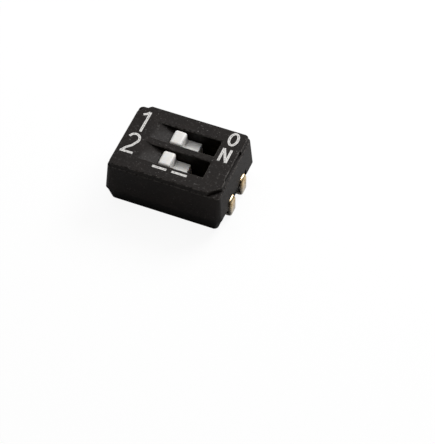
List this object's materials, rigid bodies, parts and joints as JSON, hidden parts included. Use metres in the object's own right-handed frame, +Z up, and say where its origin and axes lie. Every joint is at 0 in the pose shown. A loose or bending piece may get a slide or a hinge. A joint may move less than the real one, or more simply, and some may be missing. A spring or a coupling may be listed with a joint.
{
  "type": "two-pole slide switch",
  "caption": "Half-pitch surface-mount slide switch: two recessed sliders in a low moulded case, each opening or closing one contact pair between hooked terminals.",
  "frame": {"origin": "middle of the footprint, at the undersides of the terminal feet (solder plane)", "axes": "+X is the direction the sliders travel from OFF to ON, +Y runs from pole 2 to pole 1, +Z is up out of the board"},
  "size_m": [0.0056, 0.0038, 0.0024],
  "materials": {
    "cover_plastic": "matt black glass-filled moulding",
    "base_plastic": "matt black moulding",
    "slider_plastic": "white moulding",
    "gold_contact": "thin gold plating over copper alloy"
  },
  "bodies": {
    "housing": {"base": "base_plastic", "cover": "cover_plastic", "terminal_1_off": "gold_contact", "terminal_1_on": "gold_contact", "terminal_2_off": "gold_contact", "terminal_2_on": "gold_contact"},
    "pole_1": {"slider_1": "slider_plastic", "wiper_1": "gold_contact"},
    "pole_2": {"slider_2": "slider_plastic", "wiper_2": "gold_contact"}
  },
  "joints": [
    {"name": "slide_1", "type": "slide", "parent": "housing", "child": "pole_1", "axis": [1, 0, 0], "range_m": [0, 0.00085]},
    {"name": "slide_2", "type": "slide", "parent": "housing", "child": "pole_2", "axis": [1, 0, 0], "range_m": [0, 0.00085]}
  ]
}
